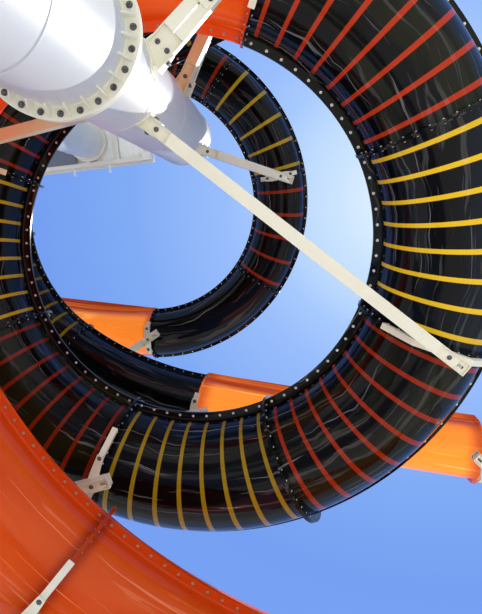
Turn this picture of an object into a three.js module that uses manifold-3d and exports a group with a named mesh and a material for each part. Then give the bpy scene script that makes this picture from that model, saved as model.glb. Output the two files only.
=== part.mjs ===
// A water slide tower: a wide raft tube and a narrow body slide wound round one steel column.
// Lengths are millimetres, +Z is up, and the origin is the centre of the main column's foot.
import * as THREE from 'three';
import { mergeVertices } from 'three/addons/utils/BufferGeometryUtils.js';
import Module from 'manifold-3d';

const wasm = await Module();
wasm.setup();

const group = new THREE.Group();
const SEAT = 0.3;             // the small gap where one piece bears on another
const rad = THREE.MathUtils.degToRad;

// Colours of the moulded tubes and the painted steel
const finish = (color, roughness, metalness) =>
  new THREE.MeshStandardMaterial({ color, roughness, metalness });
const blackGloss = finish(0x0b0b0d, 0.18, 0);
const orangeGloss = finish(0xc43c06, 0.25, 0);
const brightOrange = finish(0xff8a2c, 0.3, 0);
const whitePaint = finish(0xeeeef2, 0.4, 0.1);
const creamPaint = finish(0xe6e1c8, 0.45, 0.1);
const greyPaint = finish(0xbfc6c8, 0.5, 0.1);

// The two slide sections: outer shell radius, wall, flange reach and flange thickness
const RAFT = { shell: 650, wall: 22, flange: 750, lip: 742, plate: 20, ear: 15, sides: 12 };
const BODY = { shell: 380, wall: 18, flange: 440, lip: 434, plate: 14, ear: 12, sides: 12 };

// The columns: place of each foot, shaft radius and height; the main column's lower length is wider
const MAIN = { x: 0, y: 0, shaft: 420, lower: 460, top: 10700, sides: 24 };
const FAR = { x: -3516, y: -700, shaft: 420, top: 17300, sides: 24 };
const LEFT = { x: -2876, y: 4700, shaft: 250, top: 11200, sides: 16 };
const RIGHT = { x: 5824, y: 5900, shaft: 250, top: 9000, sides: 16 };

// The raft slide's helix, and how far it drops
const HELIX = { x: 429, y: 1457, radius: 2720, height: 7759, climbPerRadian: 275.25 };
const JOINT_ANGLE = 45;
const TOP_JOINT = 244.1;      // degrees round the helix to the last joint of the black turns

// The body slide's upper loop
const LOOP = { x: -772, y: 976, radius: 2249, height: 11373, climbPerRadian: 258 };
const LOOP_JOINTS = [87.5, 33, -11.5, -55];

// A stretch of slide between two joints: an arc or a straight in plan, falling evenly
function bay(start, length, turn, fall) {
  const heading = rad(start.heading);
  const bend = rad(turn);
  return {
    length,
    at(share) {
      const now = heading + bend * share;
      const flat = Math.abs(bend) < 1e-6;
      const radius = flat ? 0 : length / bend;
      const run = length * share;
      return {
        x: start.x + (flat ? run * Math.cos(heading) : radius * (Math.sin(now) - Math.sin(heading))),
        y: start.y + (flat ? run * Math.sin(heading) : radius * (Math.cos(heading) - Math.cos(now))),
        z: start.z - fall * share,
        heading: start.heading + turn * share,
        slope: fall / length,
      };
    },
  };
}

// A run of bays laid end to end, downhill from its start
function course(start, steps) {
  const bays = [];
  let place = start;
  for (const [length, turn, fall] of steps) {
    const next = bay(place, length, turn, fall);
    bays.push(next);
    place = next.at(1);
  }
  return bays;
}

// The raft slide from its upper end: two straights, seven black bends, three orange bends, then wider bends
const RAFT_BEND = HELIX.radius * rad(JOINT_ANGLE);
const RAFT_STEP = HELIX.climbPerRadian * rad(JOINT_ANGLE);
const RAFT_STRAIGHTS = 2;
const raftTop = {
  x: HELIX.x + HELIX.radius * Math.cos(rad(TOP_JOINT)),
  y: HELIX.y + HELIX.radius * Math.sin(rad(TOP_JOINT)),
  z: HELIX.height + HELIX.climbPerRadian * rad(TOP_JOINT),
  heading: TOP_JOINT - 90,
};
const raftStart = {
  x: raftTop.x - RAFT_STRAIGHTS * RAFT_BEND * Math.cos(rad(raftTop.heading)),
  y: raftTop.y - RAFT_STRAIGHTS * RAFT_BEND * Math.sin(rad(raftTop.heading)),
  z: raftTop.z + RAFT_STRAIGHTS * RAFT_STEP,
  heading: raftTop.heading,
};
const straightBay = [RAFT_BEND, 0, RAFT_STEP];
const tightBay = [RAFT_BEND, -JOINT_ANGLE, RAFT_STEP];
const wideBay = [2360, -22.5, 235];
const raftBays = course(raftStart, [
  straightBay, straightBay,
  tightBay, tightBay, tightBay, tightBay, tightBay, tightBay, tightBay,
  tightBay, tightBay, tightBay,
  [2360, -26, 220], wideBay, wideBay,
]);

// The body slide from its upper end: open bends, the closed loop, and a last open run
const bodyFall = 0.115;       // drop for each length of slide
const ENTRY = { length: 2750, turns: [-35, -15] };
const loopStart = {
  x: LOOP.x + LOOP.radius * Math.cos(rad(LOOP_JOINTS[0])),
  y: LOOP.y + LOOP.radius * Math.sin(rad(LOOP_JOINTS[0])),
  z: LOOP.height + LOOP.climbPerRadian * rad(LOOP_JOINTS[0]),
  heading: LOOP_JOINTS[0] - 90,
};
const ahead = { ...loopStart, heading: loopStart.heading + 180 };
const backward = [...ENTRY.turns].reverse().map((turn) => [ENTRY.length, -turn, -ENTRY.length * bodyFall]);
const entryBack = course(ahead, backward);
const entryEnd = entryBack[entryBack.length - 1].at(1);
const bodyStart = { ...entryEnd, heading: entryEnd.heading - 180 };
const arcBay = (radius, turn, slope = bodyFall) => [radius * rad(turn), -turn, radius * rad(turn) * slope];
const loopBay = (from, to) => arcBay(LOOP.radius, from - to);
const bodyBays = course(bodyStart, [
  ...ENTRY.turns.map((turn) => [ENTRY.length, turn, ENTRY.length * bodyFall]),
  loopBay(LOOP_JOINTS[0], LOOP_JOINTS[1]),
  loopBay(LOOP_JOINTS[1], LOOP_JOINTS[2]),
  loopBay(LOOP_JOINTS[2], LOOP_JOINTS[3]),
  arcBay(2009, 42), arcBay(2009, 42), arcBay(2504, 50), arcBay(2458, 48),
  arcBay(4754, 26, 0.15),
  [3710, -3.4, 705],
]);

// Cross-sections, as points (across, up) run counter-clockwise
function circlePoints(radius, from, to, count) {
  const points = [];
  for (let i = 0; i <= count; i += 1) {
    const angle = rad(from + (to - from) * i / count);
    points.push([radius * Math.cos(angle), radius * Math.sin(angle)]);
  }
  return points;
}

const EAR_STEP = 0.05;        // radians that keep a flange corner clear of the side lip below it
function tubeLoops(size) {
  const half = size.sides / 2;
  const lean = THREE.MathUtils.radToDeg(Math.asin(size.ear / size.shell));
  const upper = circlePoints(size.shell, lean, 180 - lean, half);
  const lower = circlePoints(size.shell, 180 + lean, 360 - lean, half);
  const shell = [
    [size.lip, -size.ear], [size.lip, size.ear], ...upper,
    [-size.lip, size.ear], [-size.lip, -size.ear], ...lower,
  ];
  const flange = shell.map(([across, up]) => {
    const angle = Math.atan2(up, across);
    const besideEar = Math.abs(across) < size.lip && Math.abs(up) < 2 * size.ear;
    const spread = besideEar ? angle + Math.sign(up) * Math.sign(across) * EAR_STEP : angle;
    return [size.flange * Math.cos(spread), size.flange * Math.sin(spread)];
  });
  const hollow = circlePoints(size.shell - size.wall, 0, 360, size.sides).slice(0, size.sides);
  return { shell, flange, hollow };
}

// The open flume: a half round floor, short upright sides and turned-out rims
const FLUME = { rise: 140, rim: 16, sides: 8 };
function openLoops(size) {
  const { rise, rim, sides } = FLUME;
  const inner = size.shell - size.wall;
  const loop = (floor, side) => [
    ...circlePoints(floor, 180, 360, sides),
    [side, rise - rim], [size.lip, rise - rim], [size.lip, rise], [inner, rise],
    ...circlePoints(inner, 360, 180, sides),
    [-inner, rise], [-size.lip, rise], [-size.lip, rise - rim], [-side, rise - rim],
  ];
  return { shell: loop(size.shell, size.shell), flange: loop(size.flange, size.flange) };
}

function loopAt(bayHere, share, loop) {
  const place = bayHere.at(share);
  const across = rad(place.heading + 90);
  return loop.map(([side, up]) => new THREE.Vector3(
    place.x + side * Math.cos(across), place.y + side * Math.sin(across), place.z + up));
}

// Surface between rings of points, facing out for counter-clockwise rings
function skin(rings, inward = false) {
  const corners = [];
  for (let i = 1; i < rings.length; i += 1) {
    const back = rings[i - 1];
    const front = rings[i];
    back.forEach((point, k) => {
      const next = (k + 1) % back.length;
      const quad = [[point, back[next], front[next]], [point, front[next], front[k]]];
      quad.forEach((face) => corners.push(...(inward ? [face[0], face[2], face[1]] : face)));
    });
  }
  return corners;
}

function cap(loop, hole, ring, holeRing, front) {
  const flat = (points) => points.map(([a, b]) => new THREE.Vector2(a, b));
  const holes = hole ? [flat(hole).reverse()] : [];
  const places = [...ring, ...(holeRing ? [...holeRing].reverse() : [])];
  return THREE.ShapeUtils.triangulateShape(flat(loop), holes).flatMap(([a, b, c]) =>
    (front ? [a, b, c] : [c, b, a]).map((i) => places[i]));
}

// Joins loose corners into one closed mesh and drops the faces that fold to a line
function closedGeometry(corners) {
  const loose = new THREE.BufferGeometry().setFromPoints(corners);
  const joined = mergeVertices(loose, 0.01);
  const from = joined.index.array;
  const index = [];
  for (let i = 0; i < from.length; i += 3) {
    const [a, b, c] = [from[i], from[i + 1], from[i + 2]];
    if (a !== b && b !== c && c !== a) index.push(a, b, c);
  }
  joined.setIndex(index);
  return joined;
}

// One moulded section with a bolting flange at each end
function slideSection(bayHere, size, loops, steps) {
  const edge = SEAT / 2 / bayHere.length;
  const plate = size.plate / bayHere.length + edge;
  const inside = Array.from({ length: steps - 1 }, (_, i) => (i + 1) / steps);
  const stations = [
    [edge, loops.flange], [plate, loops.flange], [plate, loops.shell],
    ...inside.map((share) => [share, loops.shell]),
    [1 - plate, loops.shell], [1 - plate, loops.flange], [1 - edge, loops.flange],
  ];
  const outer = stations.map(([share, loop]) => loopAt(bayHere, share, loop));
  const corners = skin(outer);
  let holes = [null, null];
  if (loops.hollow) {
    const inner = [edge, ...inside, 1 - edge].map((share) => loopAt(bayHere, share, loops.hollow));
    corners.push(...skin(inner, true));
    holes = [inner[0], inner[inner.length - 1]];
  }
  corners.push(...cap(loops.flange, loops.hollow, outer[0], holes[0], false));
  corners.push(...cap(loops.flange, loops.hollow, outer[outer.length - 1], holes[1], true));
  return closedGeometry(corners);
}

function addMesh(name, geometry, material) {
  const mesh = new THREE.Mesh(geometry, material);
  mesh.name = name;
  group.add(mesh);
  return mesh;
}

const raftLoops = tubeLoops(RAFT);
const bodyLoops = tubeLoops(BODY);
const flumeLoops = openLoops(BODY);
const RAFT_BLACK = 9;
raftBays.forEach((piece, i) => {
  const black = i < RAFT_BLACK;
  const name = black ? `raft_black_${i + 1}` : `raft_orange_${i + 1 - RAFT_BLACK}`;
  addMesh(name, slideSection(piece, RAFT, raftLoops, 3), black ? blackGloss : orangeGloss);
});
bodyBays.forEach((piece, i) => {
  const open = i < ENTRY.turns.length || i === bodyBays.length - 1;
  const name = open ? `body_flume_${i + 1}` : `body_tube_${i + 1}`;
  const geometry = slideSection(piece, BODY, open ? flumeLoops : bodyLoops, 3);
  addMesh(name, geometry, open ? brightOrange : blackGloss);
});

// Booleans: a geometry as a solid, and a solid as a geometry
function solid(geometry) {
  const bare = new THREE.BufferGeometry();
  bare.setAttribute('position', geometry.attributes.position.clone());
  if (geometry.index) bare.setIndex(geometry.index.clone());
  const joined = mergeVertices(bare, 0.001);
  return new wasm.Manifold(new wasm.Mesh({
    numProp: 3,
    vertProperties: new Float32Array(joined.attributes.position.array),
    triVerts: new Uint32Array(joined.index.array),
  }));
}

function geometryOf(body) {
  const mesh = body.getMesh();
  const geometry = new THREE.BufferGeometry();
  geometry.setAttribute('position', new THREE.BufferAttribute(new Float32Array(mesh.vertProperties), 3));
  geometry.setIndex(new THREE.BufferAttribute(new Uint32Array(mesh.triVerts), 1));
  return geometry;
}

const join = (bodies) => bodies.reduce((sum, body) => sum.add(body));

// A box by its lowest corner and its size
function box(x, y, z, width, depth, height) {
  return new THREE.BoxGeometry(width, depth, height)
    .translate(x + width / 2, y + depth / 2, z + height / 2);
}

// A turned column standing at its own place, from (radius, height) steps
function turned(column, steps) {
  const profile = steps.map(([radius, height]) => new THREE.Vector2(radius, height));
  return new THREE.LatheGeometry(profile, column.sides)
    .rotateX(Math.PI / 2)
    .translate(column.x, column.y, 0);
}

// The main column comes in two lengths, bolted together at a ring flange with ribs below it
const SPLICE = { height: 5500, ring: 552, plate: 40 };
const RIB = { count: 24, first: 5.7, thick: 14, reach: 535, height: 110, root: 30, overlap: 5 };
const FOOT = { reach: 640, plate: 40 };
const lowerShaft = turned(MAIN, [
  [0, 0], [FOOT.reach, 0], [FOOT.reach, FOOT.plate], [MAIN.lower, FOOT.plate],
  [MAIN.lower, SPLICE.height - SPLICE.plate], [SPLICE.ring, SPLICE.height - SPLICE.plate],
  [SPLICE.ring, SPLICE.height], [0, SPLICE.height],
]);

// A three-cornered rib stands on edge between the shaft and the underside of the ring
function rib(angle) {
  const inner = MAIN.lower - RIB.root;
  const base = SPLICE.height - SPLICE.plate + RIB.overlap;
  const corners = [[inner, base], [inner, base - RIB.height], [RIB.reach, base]];
  const outline = new THREE.Shape(corners.map(([x, z]) => new THREE.Vector2(x, z)));
  return new THREE.ExtrudeGeometry(outline, { depth: RIB.thick, bevelEnabled: false })
    .translate(0, 0, -RIB.thick / 2)
    .rotateX(Math.PI / 2)
    .rotateZ(rad(angle));
}
const ringRibs = Array.from({ length: RIB.count }, (_, i) => solid(rib(RIB.first + i * 360 / RIB.count)));
addMesh('main_column_lower', geometryOf(join([solid(lowerShaft), ...ringRibs])), whitePaint);

const upperBase = SPLICE.height + SEAT;
const CROWN = { reach: 425, depth: 60 };
addMesh('main_column_upper', turned(MAIN, [
  [0, upperBase], [SPLICE.ring, upperBase], [SPLICE.ring, upperBase + SPLICE.plate],
  [MAIN.shaft, upperBase + SPLICE.plate], [MAIN.shaft, MAIN.top - CROWN.depth],
  [CROWN.reach, MAIN.top - CROWN.depth], [CROWN.reach, MAIN.top], [0, MAIN.top],
]), whitePaint);

// The other columns have a foot plate and a plain capped shaft
const SIDE_FOOT = { reach: 400, plate: 30 };
[['left_column', LEFT], ['right_column', RIGHT]].forEach(([name, column]) => {
  addMesh(name, turned(column, [
    [0, 0], [SIDE_FOOT.reach, 0], [SIDE_FOOT.reach, SIDE_FOOT.plate], [column.shaft, SIDE_FOOT.plate],
    [column.shaft, column.top], [0, column.top],
  ]), whitePaint);
});
const HEAD = { reach: 500, depth: 40 };
addMesh('far_column', turned(FAR, [
  [0, 0], [FOOT.reach, 0], [FOOT.reach, FOOT.plate], [FAR.shaft, FOOT.plate],
  [FAR.shaft, FAR.top - HEAD.depth], [HEAD.reach, FAR.top - HEAD.depth], [HEAD.reach, FAR.top], [0, FAR.top],
]), greyPaint);

// The deck on the far column, set from its front right corner: steel frame below, slab above
const DECK = { x: -1876, y: -250, turn: -6.17, width: 3300, depth: 1800, beam: 100, frame: 200 };
const SLAB = { thick: 80, past: 60 };
const CROSS_BEAMS = 5;
const deck = new THREE.Group();
deck.position.set(DECK.x, DECK.y, FAR.top + SEAT);
deck.rotation.z = rad(DECK.turn);
group.add(deck);

const longBeams = [-DECK.beam, -DECK.depth].map((y) =>
  box(-DECK.width, y, 0, DECK.width, DECK.beam, DECK.frame));
const crossBeams = Array.from({ length: CROSS_BEAMS }, (_, i) =>
  box((DECK.beam - DECK.width) * i / (CROSS_BEAMS - 1) - DECK.beam, -DECK.depth + DECK.beam / 2, 0,
    DECK.beam, DECK.depth - DECK.beam, DECK.frame));
const deckFrame = join([...longBeams, ...crossBeams].map(solid));
deck.add(addMesh('far_deck_frame', geometryOf(deckFrame), greyPaint));
deck.add(addMesh('far_deck', box(-DECK.width - SLAB.past, -DECK.depth - SLAB.past, DECK.frame + SEAT,
  DECK.width + 2 * SLAB.past, DECK.depth + 2 * SLAB.past, SLAB.thick), greyPaint));

// A V-shaped cradle under a joint: it hugs the flange from below, and its foot meets the arm
const CRADLE = { width: 80, depth: 60, tilt: 40, spread: 53, narrow: 34, gap: 0.6 };
function cradleShape(reach, spread) {
  const inner = reach + CRADLE.gap;
  const outer = inner + CRADLE.depth;
  const edge = (radius) => {
    const low = radius * Math.tan(rad(CRADLE.tilt / 2));
    const tail = radius * Math.tan(rad(spread - CRADLE.tilt));
    const lean = rad(CRADLE.tilt);
    const end = [
      radius * Math.sin(lean) + tail * Math.cos(lean),
      -radius * Math.cos(lean) + tail * Math.sin(lean),
    ];
    return [[low, -radius], end];
  };
  const [innerLow, innerEnd] = edge(inner);
  const [outerLow, outerEnd] = edge(outer);
  const right = [outerLow, outerEnd, innerEnd, innerLow];
  const left = right.map(([x, z]) => [-x, z]).reverse();
  return new THREE.Shape([...right, ...left].map(([x, z]) => new THREE.Vector2(x, z)));
}

function cradle(place, reach, spread) {
  // The bar leans with the slide's fall: y runs uphill here
  const lean = new THREE.Matrix4().set(1, 0, 0, 0, 0, 1, 0, 0, 0, place.slope, 1, 0, 0, 0, 0, 1);
  return new THREE.ExtrudeGeometry(cradleShape(reach, spread), { depth: CRADLE.width, bevelEnabled: false })
    .translate(0, 0, -CRADLE.width / 2)
    .rotateX(Math.PI / 2)
    .applyMatrix4(lean)
    .rotateZ(rad(place.heading + 90))
    .translate(place.x, place.y, place.z);
}

// An arm: a saddle on the column, a box beam that may leave it aslant or climb, and the cradle
// that it carries, with a post between them where the cradle stands higher
const ARM = { width: 120, broad: 220, height: 150, past: 230, root: 60, post: 90 };
const SHOE = { past: 45, height: 280, depth: 90 };
const SHAFT_GAP = 0.36;       // between flat-sided shaft and saddle, measured at the corners
const PLAIN_ARM = { lean: 0, drop: 0, climb: 0, width: ARM.width, spread: CRADLE.spread, ties: [] };
function arm(name, column, place, reach, changes = {}) {
  const { lean, drop, climb, width, spread, ties } = { ...PLAIN_ARM, ...changes };
  const bearing = Math.atan2(place.y - column.y, place.x - column.x) + rad(lean);
  const root = {
    x: column.x + column.shaft * Math.cos(bearing),
    y: column.y + column.shaft * Math.sin(bearing),
  };
  const span = Math.hypot(place.x - root.x, place.y - root.y);
  const turn = Math.atan2(place.y - root.y, place.x - root.x);
  const top = place.z - reach - CRADLE.depth - drop;
  const post = box(-ARM.post / 2, -ARM.post / 2, top - ARM.height / 2, ARM.post, ARM.post,
    ARM.height / 2 + drop + CRADLE.depth / 2)
    .rotateZ(turn)
    .translate(place.x, place.y, 0);
  const shoeBase = top - climb - (ARM.height + SHOE.height) / 2;
  const shoe = box(column.shaft - ARM.root, -width / 2 - SHOE.past, shoeBase,
    ARM.root + SHOE.depth, width + 2 * SHOE.past, SHOE.height)
    .rotateZ(bearing)
    .translate(column.x, column.y, 0);
  const rise = new THREE.Matrix4().set(1, 0, 0, 0, 0, 1, 0, 0, climb / span, 0, 1, -climb, 0, 0, 0, 1);
  const beam = box(-ARM.root / 2, -width / 2, top - ARM.height,
    ARM.root / 2 + span + ARM.past, width, ARM.height)
    .applyMatrix4(rise)
    .rotateZ(turn)
    .translate(root.x, root.y, 0);
  const hole = column.shaft + SHAFT_GAP;
  const shaft = turned(column, [[0, 0], [hole, 0], [hole, column.top], [0, column.top]]);
  const pieces = [shoe, beam, post, cradle(place, reach, spread), ...ties];
  const body = join(pieces.map(solid)).subtract(solid(shaft));
  addMesh(name, geometryOf(body), creamPaint);
}

// Where a cradle sits: under a joint's flanges, under an end flange, or on the shell just uphill of a joint
const jointOf = (bays, i) => ({
  ...bays[i].at(0),
  slope: (bays[i].at(0).slope + bays[i - 1].at(1).slope) / 2,
});
const endOf = (piece, size) => piece.at(1 - size.plate / 2 / piece.length);
const UPHILL = 90;
const uphillOf = (bays, i) => bays[i - 1].at(1 - UPHILL / bays[i - 1].length);

// A slim tie holds the upper arm's outer end from higher up the column
const TIE = { bearing: -37.8, high: 8990, width: 75, thick: 60, root: 40, short: 95, sink: 20 };
function tie(place, reach) {
  const bearing = rad(TIE.bearing);
  const start = new THREE.Vector3(
    (MAIN.shaft - TIE.root) * Math.cos(bearing), (MAIN.shaft - TIE.root) * Math.sin(bearing), TIE.high);
  const away = Math.hypot(place.x - start.x, place.y - start.y) - TIE.short;
  const low = place.z - reach - CRADLE.depth - TIE.sink;
  const turn = Math.atan2(place.y - start.y, place.x - start.x);
  const fall = new THREE.Matrix4().set(1, 0, 0, 0, 0, 1, 0, 0, (low - TIE.high) / away, 0, 1, 0, 0, 0, 0, 1);
  return box(0, -TIE.width / 2, -TIE.thick / 2, away, TIE.width, TIE.thick)
    .applyMatrix4(fall)
    .rotateZ(turn)
    .translate(start.x, start.y, start.z);
}

// Arms under the raft slide, from the main, left and right columns
const RAFT_LUG = RAFT.flange - RAFT.shell;
const upperJoint = jointOf(raftBays, 1);
arm('arm_raft_upper', MAIN, upperJoint, RAFT.flange, { lean: 29, ties: [tie(upperJoint, RAFT.flange)] });
arm('arm_raft_left', MAIN, jointOf(raftBays, 3), RAFT.flange);
arm('arm_raft_long', MAIN, uphillOf(raftBays, 7), RAFT.shell, { lean: 14, drop: RAFT_LUG });
arm('arm_raft_colour_change', MAIN, jointOf(raftBays, 9), RAFT.flange, { lean: 34, width: ARM.broad });
arm('arm_raft_low', MAIN, jointOf(raftBays, 11), RAFT.flange);
arm('arm_raft_outer', LEFT, jointOf(raftBays, 4), RAFT.flange);
arm('arm_raft_bottom', LEFT, uphillOf(raftBays, 5), RAFT.shell, { drop: RAFT_LUG, spread: CRADLE.narrow });
arm('arm_orange_outer', LEFT, uphillOf(raftBays, 13), RAFT.shell, { drop: RAFT_LUG, spread: CRADLE.narrow });
arm('arm_orange_end', RIGHT, endOf(raftBays[raftBays.length - 1], RAFT), RAFT.flange);

// Arms under the body slide
const BODY_LUG = BODY.flange - BODY.shell;
arm('arm_body_loop', MAIN, uphillOf(bodyBays, 4), BODY.shell, { lean: 16, drop: BODY_LUG, climb: 780 });
arm('arm_body_entry', LEFT, jointOf(bodyBays, 2), BODY.flange);
arm('arm_body_left', LEFT, jointOf(bodyBays, 8), BODY.flange);
arm('arm_body_run', LEFT, jointOf(bodyBays, 10), BODY.flange);
arm('arm_body_end', RIGHT, endOf(bodyBays[bodyBays.length - 1], BODY), BODY.flange);
arm('arm_entry_end', FAR, bodyBays[0].at(BODY.plate / 2 / ENTRY.length), BODY.flange);

export default group;
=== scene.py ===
import math

import bpy
import numpy as np
from mathutils import Matrix, Vector


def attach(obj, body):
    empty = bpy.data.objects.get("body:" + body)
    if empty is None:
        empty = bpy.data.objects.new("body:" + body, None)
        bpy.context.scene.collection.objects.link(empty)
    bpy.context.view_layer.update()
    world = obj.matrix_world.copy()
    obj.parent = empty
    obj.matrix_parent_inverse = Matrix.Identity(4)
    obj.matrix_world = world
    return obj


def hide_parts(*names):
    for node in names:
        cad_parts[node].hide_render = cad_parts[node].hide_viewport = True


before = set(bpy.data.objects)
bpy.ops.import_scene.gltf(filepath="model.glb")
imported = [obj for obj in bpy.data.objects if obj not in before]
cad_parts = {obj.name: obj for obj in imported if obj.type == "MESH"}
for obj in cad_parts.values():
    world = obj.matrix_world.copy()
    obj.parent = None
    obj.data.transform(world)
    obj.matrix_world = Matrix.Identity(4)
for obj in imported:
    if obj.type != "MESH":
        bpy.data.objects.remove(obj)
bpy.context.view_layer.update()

# Camera, light and floor. The camera stands among the columns, near the white one, and looks almost
# straight up into the turns of the slides. The sun stands high to one side, over a pale floor.
EYE = (1.424, 1.15, 1.5)
LOOK_RIGHT = (0.99823, 0.0, 0.05952)
LOOK_DOWN = (0.00912, 0.98820, -0.15290)
LOOK_AHEAD = (-0.05882, 0.15317, 0.98645)
SENSOR_HEIGHT = 36.0
LENS = 35.18
FARTHEST = 200.0

scene = bpy.context.scene
scene.view_settings.view_transform = "Standard"
lens = bpy.data.cameras.new("camera")
lens.sensor_fit = "VERTICAL"
lens.sensor_height = SENSOR_HEIGHT
lens.lens = LENS
lens.clip_end = FARTHEST
camera = bpy.data.objects.new("camera", lens)
scene.collection.objects.link(camera)
facing = Matrix((LOOK_RIGHT, [-v for v in LOOK_DOWN], [-v for v in LOOK_AHEAD])).transposed()
camera.matrix_world = Matrix.Translation(EYE) @ facing.to_4x4()
scene.camera = camera

SUN = dict(azimuth=math.radians(13.0), altitude=math.radians(69.5), strength=4.0, spread=math.radians(0.8),
           colour=(1.0, 0.985, 0.96))
sun_level = math.cos(SUN["altitude"])
sun_from = Vector((math.cos(SUN["azimuth"]) * sun_level, math.sin(SUN["azimuth"]) * sun_level,
                   math.sin(SUN["altitude"])))
sun_light = bpy.data.lights.new("sun", "SUN")
sun_light.energy = SUN["strength"]
sun_light.angle = SUN["spread"]
sun_light.color = SUN["colour"]
sun = bpy.data.objects.new("sun", sun_light)
sun.matrix_world = sun_from.to_track_quat("Z", "Y").to_matrix().to_4x4()
scene.collection.objects.link(sun)

# The light from above is blue, and paler towards the horizon and round the sun
SKY_STOPS = ((0.490, (0.78, 0.78, 0.77)), (0.505, (0.66, 0.78, 0.97)), (0.620, (0.32, 0.52, 0.98)),
             (0.850, (0.19, 0.36, 0.90)), (1.000, (0.18, 0.35, 0.88)))
GLARE_STOPS = ((0.00, (0.75, 0.87, 1.00)), (0.03, (0.61, 0.79, 1.00)), (0.13, (0.39, 0.59, 0.99)),
               (0.22, (0.32, 0.51, 0.98)), (0.50, (0.215, 0.405, 0.91)), (0.85, (0.18, 0.35, 0.88)))
GLARE_FROM = (0.2095, -0.0218, 0.9776)
GLARE_RIM, GLARE_WHOLE = 0.80, 0.83
SKY_FILL = (0.30, 0.40, 0.70)


def feed(tree, node, inputs):
    """Gives inputs of a node a number, a colour or another node's output."""
    for key, value in inputs.items():
        socket = node.inputs[key]
        if isinstance(value, bpy.types.NodeSocket):
            tree.links.new(value, socket)
        elif socket.type == "RGBA":
            socket.default_value = (*value, 1.0)
        else:
            socket.default_value = value


def wire(tree, kind, inputs=None, **settings):
    """A new node with its settings made and its inputs fed."""
    node = tree.nodes.new(kind)
    for key, value in settings.items():
        setattr(node, key, value)
    feed(tree, node, inputs or {})
    return node


def sums(tree, operation, *terms):
    """One maths node; each term is a socket or a number."""
    return wire(tree, "ShaderNodeMath", dict(enumerate(terms)), operation=operation).outputs[0]


def blend_colour(tree, share, under, over):
    """Mixes two colours; each is a socket or three numbers."""
    return wire(tree, "ShaderNodeMix", {0: share, 6: under, 7: over}, data_type="RGBA").outputs[2]


def ramp(tree, value, low, high, to_low=0.0, to_high=1.0, smooth=False):
    """A value spread from one range to another, held at its ends."""
    ends = {"Value": value, "From Min": low, "From Max": high, "To Min": to_low, "To Max": to_high}
    return wire(tree, "ShaderNodeMapRange", ends, clamp=True,
                interpolation_type="SMOOTHSTEP" if smooth else "LINEAR").outputs[0]


def colour_stops(tree, value, stops):
    """A colour for each value, by way of the stops given."""
    node = wire(tree, "ShaderNodeValToRGB", {0: value})
    elements = node.color_ramp.elements
    while len(elements) < len(stops):
        elements.new(0.5)
    for element, (position, colour) in zip(elements, stops):
        element.position = position
        element.color = (*colour, 1.0)
    return node.outputs[0]


def new_material(name):
    """A material with its tree of nodes and its shader."""
    material = bpy.data.materials.new(name)
    material.use_nodes = True
    return material, material.node_tree, material.node_tree.nodes["Principled BSDF"]


world = bpy.data.worlds.new("world")
scene.world = world
world.use_nodes = True
sky = world.node_tree
outward = wire(sky, "ShaderNodeTexCoord").outputs["Generated"]
upward = wire(sky, "ShaderNodeSeparateXYZ", {0: outward}).outputs["Z"]
nearness = wire(sky, "ShaderNodeVectorMath", {0: outward, 1: GLARE_FROM}, operation="DOT_PRODUCT")
sunward = nearness.outputs["Value"]
plain_sky = colour_stops(sky, sums(sky, "MULTIPLY_ADD", upward, 0.5, 0.5), SKY_STOPS)
glare = colour_stops(sky, ramp(sky, sunward, 1.0, GLARE_RIM), GLARE_STOPS)
seen_sky = blend_colour(sky, ramp(sky, sunward, GLARE_RIM, GLARE_WHOLE), plain_sky, glare)
soft_light = wire(sky, "ShaderNodeLightPath").outputs["Is Diffuse Ray"]
feed(sky, sky.nodes["Background"], {"Color": blend_colour(sky, soft_light, seen_sky, SKY_FILL)})

FLOOR = dict(radius=26.0, sides=96, colour=(0.74, 0.70, 0.62), roughness=0.9)
floor_turns = [2 * math.pi * i / FLOOR["sides"] for i in range(FLOOR["sides"])]
floor_ring = [(FLOOR["radius"] * math.cos(a), FLOOR["radius"] * math.sin(a), 0.0) for a in floor_turns]
floor_mesh = bpy.data.meshes.new("floor")
floor_mesh.from_pydata(floor_ring, [], [list(range(FLOOR["sides"]))])
floor = bpy.data.objects.new("floor", floor_mesh)
scene.collection.objects.link(floor)
floor_paint, floor_tree, floor_shader = new_material("floor")
feed(floor_tree, floor_shader, {"Base Color": FLOOR["colour"], "Roughness": FLOOR["roughness"]})
floor_mesh.materials.append(floor_paint)


# The main column: spiral-welded steel tube in two lengths, the lower one wider, painted white. A ring
# flange with ribs joins them, and a gusseted base plate holds the foot down.
MAIN = dict(x=0.0, y=0.0, radius=0.420, top=10.700, foot=0.640, foot_plate=0.040, crown=0.425,
            crown_depth=0.060, seam_through=6.651, seam_turn=24.0, seam_above=0.03, seam_below=0.10)
LOWER_LENGTH = dict(MAIN, radius=0.460, seam_through=4.294, seam_below=0.04)
WIDE_FOOT = dict(count=12, reach=0.610, height=0.220, thick=0.014, circle=0.565, anchor=0.024, sunk=0.002,
                 inset=0.02, edge=0.03)
SPLICE = dict(height=5.500, gap=0.0003, radius=0.552, plate=0.040)
SPLICE_BOLTS = dict(radius=0.508, count=24, first=13.2)
SPLICE_RIB = dict(reach=0.535, height=0.110, thick=0.014, lip=0.018, fillet=0.012, sunk=0.01)
SEAM = dict(width=0.022, height=0.0060, pitch=1.62, start=0.10, step=5.0, sunk=0.001)
SEAM_BEAD = ((-0.5, 0.0), (-0.3, 0.75), (0.0, 1.0), (0.3, 0.75), (0.5, 0.0))
EASE = 0.004
EASED_FROM = 40.0
HEAD = 0.0150
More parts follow.
